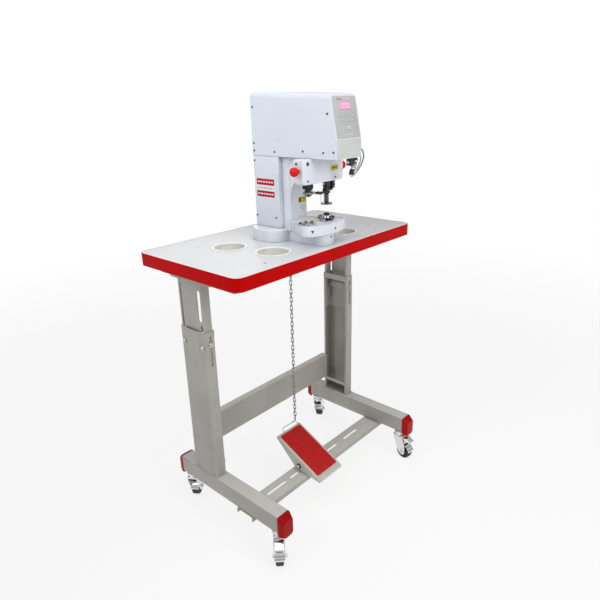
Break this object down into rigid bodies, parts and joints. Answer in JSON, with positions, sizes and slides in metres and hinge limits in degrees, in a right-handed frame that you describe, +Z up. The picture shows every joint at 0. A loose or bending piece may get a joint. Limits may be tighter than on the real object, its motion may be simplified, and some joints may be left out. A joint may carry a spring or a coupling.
{
  "type": "snap setting press",
  "caption": "Electric snap and eyelet setting press with paired dies on a castored, height-adjustable steel table stand with a chain-linked foot pedal.",
  "frame": {"origin": "centre of the overall box on the floor plane", "axes": "+X along the table's length to the operator's right, +Y away from the operator, +Z up"},
  "size_m": [0.847, 0.5564, 1.3986],
  "materials": {
    "black_plastic": "black",
    "bright_steel": "ground",
    "caster_chrome": "bright plated",
    "caster_rubber": "black",
    "cup_plastic": "off-white moulded plastic",
    "dark_steel": "blackened",
    "display": "tinted window",
    "edge_plastic": "red plastic edging",
    "key_plastic": "light grey",
    "knob_plastic": "glossy red",
    "laminate": "white laminate on board",
    "machine_enamel": "white enamel, slightly bluish",
    "motor_black": "black",
    "panel_film": "grey membrane",
    "pedal_paint": "beige grey enamel",
    "pedal_rubber": "red ribbed rubber",
    "red_plastic": "red moulded plastic",
    "stand_paint": "warm light grey powder coat",
    "zinc": "zinc plated steel"
  },
  "bodies": {
    "stand": {"lower_leg_left": "stand_paint", "lower_leg_right": "stand_paint", "foot_bar_left": "stand_paint", "foot_bar_right": "stand_paint", "foot_cap_front_left": "red_plastic", "foot_cap_front_right": "red_plastic", "foot_cap_rear_left": "red_plastic", "foot_cap_rear_right": "red_plastic", "cross_brace": "stand_paint", "treadle_bar": "stand_paint", "pedal_bracket": "stand_paint", "pedal_pin": "zinc"},
    "upper": {"upper_leg_left": "stand_paint", "upper_leg_right": "stand_paint", "leg_lock_bolt_left": "zinc", "leg_lock_bolt_right": "zinc", "table_top": "laminate", "edge_band": "edge_plastic", "parts_cup_front_left": "cup_plastic", "parts_cup_front_right": "cup_plastic", "parts_cup_rear_left": "cup_plastic", "parts_cup_rear_right": "cup_plastic", "machine_frame": "machine_enamel", "column_cover": "machine_enamel", "head_cover": "machine_enamel", "control_panel": "panel_film", "display_window": "display", "ram_housing": "machine_enamel", "servo_motor": "motor_black", "anvil_table": "machine_enamel", "lower_die_left": "bright_steel", "lower_die_right": "dark_steel", "die_guide_block": "dark_steel", "work_lamp": "black_plastic"},
    "pedal": {"pedal_body": "pedal_paint", "pedal_mat": "pedal_rubber"},
    "chain": {"pull_chain": "zinc"},
    "trip": {"trip_lever": "zinc"},
    "drive": {"eccentric_shaft": "bright_steel"},
    "ram_group": {"crosshead": "bright_steel", "ram_left": "bright_steel", "ram_right": "bright_steel", "upper_die_left": "dark_steel", "upper_die_right": "dark_steel", "finger_guard": "bright_steel"},
    "release_left": {"release_knob_left": "knob_plastic"},
    "release_right": {"release_knob_right": "knob_plastic"},
    "key": {"panel_key": "key_plastic"},
    "caster_front_left": {"caster_fork_front_left": "caster_chrome"},
    "wheel_front_left": {"caster_wheel_front_left": "caster_rubber"},
    "brake_front_left": {"caster_brake_front_left": "black_plastic"},
    "caster_front_right": {"caster_fork_front_right": "caster_chrome"},
    "wheel_front_right": {"caster_wheel_front_right": "caster_rubber"},
    "brake_front_right": {"caster_brake_front_right": "black_plastic"},
    "caster_rear_left": {"caster_fork_rear_left": "caster_chrome"},
    "wheel_rear_left": {"caster_wheel_rear_left": "caster_rubber"},
    "brake_rear_left": {"caster_brake_rear_left": "black_plastic"},
    "caster_rear_right": {"caster_fork_rear_right": "caster_chrome"},
    "wheel_rear_right": {"caster_wheel_rear_right": "caster_rubber"},
    "brake_rear_right": {"caster_brake_rear_right": "black_plastic"}
  },
  "joints": [
    {"name": "table_height", "type": "slide", "parent": "stand", "child": "upper", "axis": [0, 0, 1], "range_m": [-0.068, 0.022]},
    {"name": "pedal_press", "type": "hinge", "parent": "stand", "child": "pedal", "pos_m": [-0.051, -0.0863, 0.144], "axis": [-1, 0, 0], "range_deg": [0, 6], "stiffness_Nm_per_rad": 30, "springref_deg": -11.46},
    {"name": "chain_pull", "type": "slide", "parent": "stand", "child": "chain", "axis": [0, 0, -1], "range_m": [0, 0.0112]},
    {"name": "trip_swing", "type": "hinge", "parent": "upper", "child": "trip", "pos_m": [-0.013, 0.0737, 0.963], "axis": [1, 0, 0], "range_deg": [0, 12]},
    {"name": "drive_turn", "type": "hinge", "parent": "upper", "child": "drive", "pos_m": [0, -0.0403, 1.3], "axis": [0, 1, 0], "range_deg": [0, 180]},
    {"name": "ram_stroke", "type": "slide", "parent": "upper", "child": "ram_group", "axis": [0, 0, -1], "range_m": [0, 0.02]},
    {"name": "release_left_pull", "type": "slide", "parent": "upper", "child": "release_left", "axis": [-1, 0, 0], "range_m": [0, 0.01]},
    {"name": "release_right_pull", "type": "slide", "parent": "upper", "child": "release_right", "axis": [1, 0, 0], "range_m": [0, 0.01]},
    {"name": "key_press", "type": "slide", "parent": "upper", "child": "key", "axis": [0, 0.9814, -0.192], "range_m": [0, 0.0015], "stiffness_N_per_m": 300, "springref_m": -0.001},
    {"name": "swivel_front_left", "type": "hinge", "parent": "stand", "child": "caster_front_left", "pos_m": [-0.353, -0.2163, 0.11], "axis": [0, 0, 1], "continuous": true},
    {"name": "roll_front_left", "type": "hinge", "parent": "caster_front_left", "child": "wheel_front_left", "pos_m": [-0.37139, -0.23469, 0.03], "axis": [0.7071, -0.7071, 0], "continuous": true},
    {"name": "brake_press_front_left", "type": "hinge", "parent": "caster_front_left", "child": "brake_front_left", "pos_m": [-0.37245, -0.23575, 0.088], "axis": [0.7071, -0.7071, 0], "range_deg": [0, 10]},
    {"name": "swivel_front_right", "type": "hinge", "parent": "stand", "child": "caster_front_right", "pos_m": [0.353, -0.2163, 0.11], "axis": [0, 0, 1], "continuous": true},
    {"name": "roll_front_right", "type": "hinge", "parent": "caster_front_right", "child": "wheel_front_right", "pos_m": [0.34938, -0.24205, 0.03], "axis": [0.9903, -0.1392, 0], "continuous": true},
    {"name": "brake_press_front_right", "type": "hinge", "parent": "caster_front_right", "child": "brake_front_right", "pos_m": [0.34917, -0.24353, 0.088], "axis": [0.9903, -0.1392, 0], "range_deg": [0, 10]},
    {"name": "swivel_rear_left", "type": "hinge", "parent": "stand", "child": "caster_rear_left", "pos_m": [-0.353, 0.2157, 0.11], "axis": [0, 0, 1], "continuous": true},
    {"name": "roll_rear_left", "type": "hinge", "parent": "caster_rear_left", "child": "wheel_rear_left", "pos_m": [-0.3317, 0.23061, 0.03], "axis": [-0.5736, 0.8192, 0], "continuous": true},
    {"name": "brake_press_rear_left", "type": "hinge", "parent": "caster_rear_left", "child": "brake_rear_left", "pos_m": [-0.33047, 0.23147, 0.088], "axis": [-0.5736, 0.8192, 0], "range_deg": [0, 10]},
    {"name": "swivel_rear_right", "type": "hinge", "parent": "stand", "child": "caster_rear_right", "pos_m": [0.353, 0.2157, 0.11], "axis": [0, 0, 1], "continuous": true},
    {"name": "roll_rear_right", "type": "hinge", "parent": "caster_rear_right", "child": "wheel_rear_right", "pos_m": [0.37596, 0.22791, 0.03], "axis": [-0.4695, 0.8829, 0], "continuous": true},
    {"name": "brake_press_rear_right", "type": "hinge", "parent": "caster_rear_right", "child": "brake_rear_right", "pos_m": [0.37728, 0.22861, 0.088], "axis": [-0.4695, 0.8829, 0], "range_deg": [0, 10]}
  ],
  "couplings": [
    {"joint": "chain_pull", "follows": "pedal_press", "m_per_rad": 0.1065},
    {"joint": "trip_swing", "follows": "pedal_press", "ratio": 1.97},
    {"joint": "drive_turn", "follows": "ram_stroke", "rad_per_m": 157}
  ]
}
